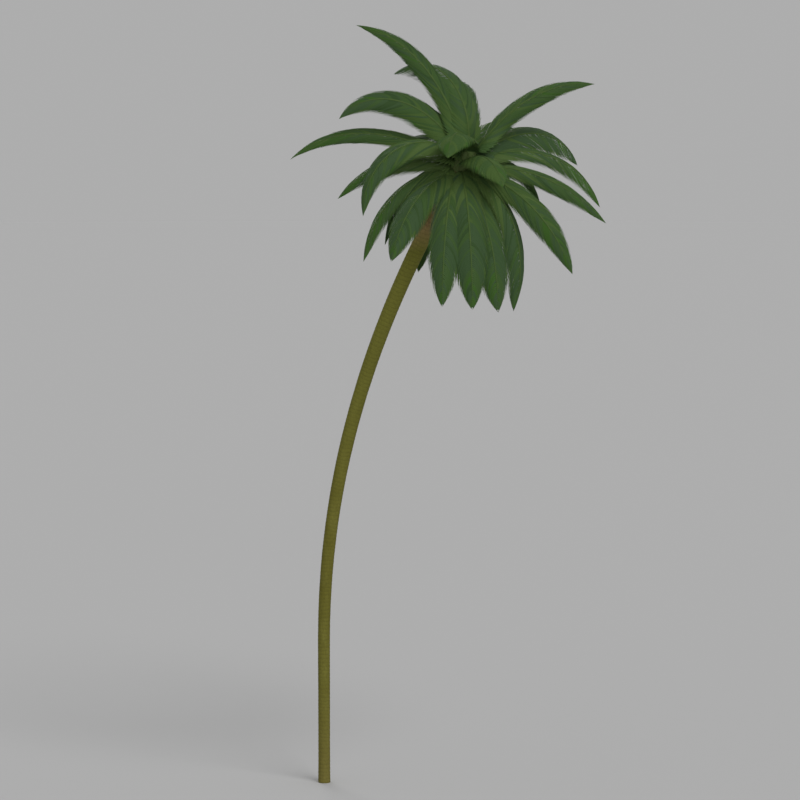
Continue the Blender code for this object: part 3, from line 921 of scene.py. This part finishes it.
class PALM_OT_heart(Operator):
    """Make the fibrous heart, the fibres round it and the leaf bases that clasp it"""

    bl_idname = "palm.heart"
    bl_label = "Heart"

    # The core is a little slimmer than the solid, under its fibres
    CORE_RINGS = 40
    CORE_SIDES = 40
    CORE_SHARE = 0.985
    # Where a fibre starts, from the heart's foot, how far it runs up and, in radians, round the
    # heart, how far it stands off, and how much of its thickness it loses
    STRAND_SEED = 11
    STRAND_STEPS = 7
    STRAND_START = (-0.75, 0.75)
    STRAND_RUN = (0.25, 0.6)
    STRAND_TURN = (0.3, 1.1)
    STRAND_PROUD = (0.002, 0.012)
    STRAND_TAPER = 0.7
    # A leaf base starts sunk in the heart, bends off it under the stalk, and becomes the rib. Its
    # sides rise round the heart at its foot, by the clasp.
    BASE_STEPS = 14
    BASE_LOWEST = 0.05
    BASE_SUNK = 0.01
    BASE_BEND = 0.02
    BASE_END = 0.05
    BASE_CLASP = 0.062
    BASE_CLASP_POWER = 1.5
    BASE_TAPER_POWER = 0.8

    def execute(self, context):
        heart = context.scene.palm_heart
        stem = Stem(context.scene.palm_trunk)
        fibre = fibre_finish(heart, stem.top.z)
        self.core(stem, fibre)
        self.strands(heart, stem, fibre)
        self.bases(heart, stem)
        return {"FINISHED"}

    def core(self, stem, fibre):
        stations = []
        for ring in range(self.CORE_RINGS + 1):
            point = stem.top + stem.axis * (HEART_LENGTH * ring / self.CORE_RINGS)
            size = heart_radius(ring / self.CORE_RINGS) * self.CORE_SHARE
            stations.append((point, Vector((0, -1, 0)), size, size, 0.0))
        lines = Lines()
        lines.add(stations)
        values = {"Sides": self.CORE_SIDES, "Fibre": fibre}
        group = swept_tree("Heart core", ["Fibre"])
        swept("heart_core", group, values, lines, "sheath", "heart")

    def strands(self, heart, stem, fibre):
        """Fibres that cross each other round the heart and the top of the trunk."""
        random = Random(self.STRAND_SEED)
        lines = Lines()
        for _ in range(heart.strands):
            low = random.uniform(*self.STRAND_START)
            turn = random.uniform(0, tau)
            run = random.uniform(*self.STRAND_RUN)
            lean = random.choice((-1, 1)) * random.uniform(*self.STRAND_TURN)
            proud = random.uniform(*self.STRAND_PROUD)
            stations = []
            for step in range(self.STRAND_STEPS + 1):
                share = step / self.STRAND_STEPS
                along = low + run * share
                height = stem.trunk.height + along
                if along > 0:
                    point, outward = stem.on_heart(along, turn + lean * share, proud)
                else:
                    _, outward = stem.on_heart(0, turn + lean * share)
                    direction = stem.direction(height)
                    outward = (outward - direction * outward.dot(direction)).normalized()
                    point = stem.point(height) + outward * (stem.radius(height) + proud)
                size = heart.strand_radius * (1 - self.STRAND_TAPER * step / self.STRAND_STEPS)
                stations.append((point, outward, size, size, 0.0))
            lines.add(stations)
        values = {"Sides": 5, "Fibre": fibre}
        swept("heart_strands", swept_tree("Heart strands", ["Fibre"]), values, lines, "sheath")

    def bases(self, heart, stem):
        """A leaf base runs up the heart's side under each rib, and narrows into it."""
        lines = Lines()
        for frond in FRONDS:
            blade = Blade(frond, stem)
            outward = blade.outward
            seat = CROWN_CENTRE_HEIGHT + frond.seat
            foot = max(seat - heart.base_length, self.BASE_LOWEST)
            radius = heart_radius(foot / HEART_LENGTH)
            low = stem.top + stem.axis * foot + outward * (radius - self.BASE_SUNK)
            bend = stem.top + stem.axis * (seat - self.BASE_BEND)
            bend = bend + outward * (heart_radius(seat / HEART_LENGTH) + self.BASE_BEND)
            joined, _, up = blade.frame(self.BASE_END)
            inner = outward * -1
            stations = []
            for step in range(self.BASE_STEPS + 1):
                share = step / self.BASE_STEPS
                taper = smooth_step(share) ** self.BASE_TAPER_POWER
                stations.append((
                    low.lerp(bend, share).lerp(bend.lerp(joined, share), share),
                    inner.lerp(up, smooth_step(share)).normalized(),
                    heart.base_width + (half_of(RIB_WIDTH, 0) - heart.base_width) * taper,
                    heart.base_depth,
                    -self.BASE_CLASP * (1 - taper) ** self.BASE_CLASP_POWER,
                ))
            lines.add(stations)
        values = {"Sides": 16, "Upper Share": 0.5, "Base": base_finish(heart)}
        swept("leaf_bases", swept_tree("Leaf bases", ["Base"]), values, lines, "sheath")


class PALM_OT_ribs(Operator):
    """Make every frond's rib"""

    bl_idname = "palm.ribs"
    bl_label = "Ribs"

    # Stations crowd towards the root. A flare there ends at FLARE_END, and from POINT_FROM on the
    # rib narrows, to lose POINT_LOSS of its size at its tip.
    STATIONS = 44
    CROWDING = 1.25
    FLARE_END = 0.06
    POINT_FROM = 0.75
    POINT_LOSS = 0.85

    def execute(self, context):
        fronds = context.scene.palm_fronds
        stem = Stem(context.scene.palm_trunk)
        lines = Lines()
        for frond in FRONDS:
            blade = Blade(frond, stem)
            stations = []
            for station in range(self.STATIONS + 1):
                along = (station / self.STATIONS) ** self.CROWDING
                point, _, up = blade.frame(along)
                at_root = 1 - smooth_step(along / self.FLARE_END)
                flare = at_root * (fronds.rib_base - RIB_WIDTH[0] / 2)
                past = (along - self.POINT_FROM) / (1 - self.POINT_FROM)
                tip = 1 - self.POINT_LOSS * smooth_step(past)
                wide = (half_of(RIB_WIDTH, along) + flare) * tip
                stations.append((point, up, wide, half_of(RIB_THICKNESS, along) * tip, 0.0))
            lines.add(stations)
        values = {"Sides": 10, "Upper Share": 0.55, "Rib": rib_finish(fronds)}
        swept("frond_ribs", swept_tree("Ribs", ["Rib"]), values, lines, "leaf")
        return {"FINISHED"}


class PALM_OT_leaflets(Operator):
    """Make every frond's leaflets by the solids' rule"""

    bl_idname = "palm.leaflets"
    bl_label = "Leaflets"

    FIRST_SEED = 100
    STATIONS = 8
    # How far a leaflet may differ from its neighbours in place, by its pitch, in length, by its
    # own, in tilt, in radians, and in sag, in metres
    PLACE_PLAY = 0.1
    LENGTH_PLAY = 0.04
    TILT_PLAY = 0.07
    MOST_SAG = 0.03
    # The shares of its length that are tried until it clears the bark
    CUTS = (1, 0.8, 0.6, 0.4)
    # Half a leaflet's least and most width, and how much more it may be up to ROOT_END
    NARROWEST = 0.009
    WIDEST = 0.036
    WIDER_AT_ROOT = 0.012
    ROOT_END = 0.25
    # How far from the rib's middle a leaflet is rooted, by half the rib's width, and how much of
    # it is lost towards the frond's end
    ROOTED_AT = 0.55
    ROOTED_LOSS = 1.55
    # How far its root is sunk in the rib, by half the rib's thickness, and where it is out of it
    SUNK = 0.1
    SUNK_END = 0.25

    def execute(self, context):
        fronds = context.scene.palm_fronds
        stem = Stem(context.scene.palm_trunk)
        greens = {shade.title(): leaf_finish(shade, getattr(fronds, shade)) for shade in SHADES}
        group = swept_tree("Leaflets", list(greens))
        values = {"Sides": 4, "Smooth": False, **greens}
        for number, frond in enumerate(FRONDS):
            random = Random(self.FIRST_SEED + number)
            lines = self.lines(Blade(frond, stem), stem, fronds, random)
            swept(frond.name + "_leaflets", group, values, lines, "leaf", *nodes_of(frond))
        return {"FINISHED"}

    def lines(self, blade, stem, fronds, random):
        """Both rows of a frond's leaflets, in clumps of one green."""
        span = LAST_LEAFLET - NEAREST_LEAFLET
        count = max(round(blade.frond.length * span / fronds.spacing), 8)
        roots = [
            NEAREST_LEAFLET + span * (index / (count - 1)) ** ROOT_CROWDING
            for index in range(count + 1)
        ]
        lines = Lines()
        for side in (1, -1):
            clump, shades = 0, None
            for index in range(count):
                pitch = roots[index + 1] - roots[index]
                root = roots[index] + pitch * random.uniform(-self.PLACE_PLAY, self.PLACE_PLAY)
                if clump <= 0:
                    clump = random.randint(1, 3)
                    shades = self.dealt(blade.frond, root, random)
                clump -= 1
                stations = self.leaflet(blade, stem, fronds, root, pitch, side, random)
                if stations:
                    lines.add(stations, shades)
        return lines

    def dealt(self, frond, root, random):
        """Which green each station of a leaflet gets: one for most of it, a lighter one against
        the rib on some, and a brighter tip on many near the frond's end."""
        past_middle = root >= 0.5
        first, second = DEALT[frond.tone][past_middle:past_middle + 2]
        share = 2 * root - past_middle
        chances = [a + (b - a) * share for a, b in zip(first, second)]
        shades = random.choices(range(len(chances)), chances) * self.STATIONS
        pale = frond.seat < PALE_AND_LIT_BELOW_SEAT and frond.tone != "young"
        if random.random() < LIGHT_AT_RIB * (1 - root):
            shades[0] = SHADES.index("light")
        # Paler roots on the lower fronds: partly their own colour, partly painted light against the
        # crown's shade
        if pale and random.random() < 1 - smooth_step(root / PALE_AND_LIT_END):
            shades = [SHADES.index("pale")] * self.STATIONS
        if random.random() < smooth_step(root / BRIGHT_FROM) * BRIGHT_TIPS:
            shades[-2:] = [SHADES.index("bright")] * 2
        return shades

    def leaflet(self, blade, stem, fronds, root, pitch, side, random):
        """One leaflet's stations, shortened until it clears the bark, or nothing if it can't."""
        # The last leaflets close on the frond's tip, and don't cross there
        off_tip = 1 - smooth_step((root - TIP_FROM) / (1 - TIP_FROM))
        longer = FULLNESS * FULLER.get(blade.frond.name, 1) - 1
        full = 1 + longer * off_tip + random.uniform(-self.LENGTH_PLAY, self.LENGTH_PLAY)
        tilt = side * (fronds.tilt + random.uniform(-self.TILT_PLAY, self.TILT_PLAY))
        sag = random.uniform(0.0, self.MOST_SAG) * off_tip
        for cut in self.CUTS:
            course = self.course(blade, root, pitch, side, full * cut, sag)
            if min(stem.nearness(point) for point, _, _ in course[1:]) > fronds.bark_clearance:
                break
        else:
            return None
        most = self.WIDEST + self.WIDER_AT_ROOT * (1 - smooth_step(root / self.ROOT_END))
        most = most * (0.5 + 0.5 * cut)
        # It is a little narrower at its root, and its last third runs to a point
        stations = []
        last = self.STATIONS - 1
        for station, (point, face, room) in enumerate(course):
            heading = course[min(station + 1, last)][0] - course[max(station - 1, 0)][0]
            heading = heading.normalized()
            room = room - heading * room.dot(heading)
            share = station / last
            base = 0.95 + 0.05 * smooth_step(share / 0.2)
            taper = 1 - 0.94 * smooth_step((share - 0.7) / 0.3)
            wide = min(max(room.length * fronds.overlap / 2, self.NARROWEST), most) * base * taper
            deep = fronds.thickness * (0.35 + 0.65 * taper)
            turned = Quaternion(heading, tilt) @ face
            stations.append((point, turned, wide, deep, wide * fronds.fold))
        return stations

    def course(self, blade, root, pitch, side, full, sag):
        """A leaflet's points, each with the blade's normal and the way to its neighbour's."""
        aside = (self.ROOTED_AT - self.ROOTED_LOSS * at_end(root)) * half_of(RIB_WIDTH, root)
        sunk = -self.SUNK * half_of(RIB_THICKNESS, root)
        course = []
        for station in range(self.STATIONS):
            reach = full * station / (self.STATIONS - 1)
            lift = sunk * (1 - smooth_step(reach / self.SUNK_END))
            point, face = blade.place(forward(root, reach), side, reach, aside, lift)
            ahead = forward(root + pitch, reach)
            neighbour, _ = blade.place(ahead, side, reach, aside, lift)
            course.append((point - face * (sag * reach * reach), face, neighbour - point))
        return course


class PALM_OT_stage(Operator):
    """Make the floor, the light and the camera"""

    bl_idname = "palm.stage"
    bl_label = "Stage"

    FLOOR_SIDES = 96

    def execute(self, context):
        stage = context.scene.palm_stage
        self.floor(stage)
        self.light(context, stage)
        camera = bpy.data.cameras.new("camera")
        camera.lens = stage.lens
        camera.clip_end = 2 * stage.floor_radius
        stand = added("camera", camera)
        stand.location = stage.camera_place
        stand.rotation_euler = (radians(90) - stage.camera_tilt, 0, 0)
        context.scene.camera = stand
        context.scene.view_settings.view_transform = "Standard"
        return {"FINISHED"}

    def floor(self, stage):
        mesh = bpy.data.meshes.new("floor")
        turns = [tau * side / self.FLOOR_SIDES for side in range(self.FLOOR_SIDES)]
        size = stage.floor_radius
        ring = [(size * cos(turn), size * sin(turn), 0) for turn in turns]
        mesh.from_pydata(ring, [], [tuple(range(self.FLOOR_SIDES))])
        mesh.materials.append(Finish("floor", 0.0).plain(stage.floor, 1.0))
        added("floor", mesh)

    def light(self, context, stage):
        world = bpy.data.worlds.new("studio")
        world.use_nodes = True
        background = world.node_tree.nodes["Background"]
        background.inputs["Color"].default_value = (1, 1, 1, 1)
        background.inputs["Strength"].default_value = stage.sky
        context.scene.world = world
        lamps = (
            ("key", stage.key, (-0.45, 0.62, -0.80)),
            ("fill", stage.fill, (-0.12, 0.99, -0.09)),
            ("back", stage.back, (0.30, -0.90, -0.35)),
        )
        for name, energy, heading in lamps:
            lamp = bpy.data.lights.new(name, "SUN")
            lamp.energy = energy
            lamp.angle = stage.softness
            aim = Vector(heading).to_track_quat("-Z", "Y")
            added(name, lamp).rotation_euler = aim.to_euler()


class PALM_PT_sidebar(Panel):
    """Lists the palm's settings and the operators that build it"""

    bl_idname = "PALM_PT_sidebar"
    bl_label = "Leaning Palm"
    bl_space_type = "VIEW_3D"
    bl_region_type = "UI"
    bl_category = "Palm"

    def draw(self, context):
        for operator in OPERATORS:
            self.layout.operator(operator.bl_idname)
        for name, settings in SETTINGS.items():
            box = self.layout.box()
            for prop in settings.__annotations__:
                box.prop(getattr(context.scene, name), prop)


OPERATORS = (PALM_OT_trunk, PALM_OT_heart, PALM_OT_ribs, PALM_OT_leaflets, PALM_OT_stage)


def register():
    for kind in (*SETTINGS.values(), *OPERATORS, PALM_PT_sidebar):
        bpy.utils.register_class(kind)
    for name, settings in SETTINGS.items():
        setattr(bpy.types.Scene, name, PointerProperty(type=settings))


def unregister():
    for name in SETTINGS:
        delattr(bpy.types.Scene, name)
    for kind in reversed((*SETTINGS.values(), *OPERATORS, PALM_PT_sidebar)):
        bpy.utils.unregister_class(kind)


def main():
    register()
    bpy.ops.palm.trunk()
    bpy.ops.palm.heart()
    bpy.ops.palm.ribs()
    bpy.ops.palm.leaflets()
    bpy.ops.palm.stage()


if __name__ == "__main__":
    main()
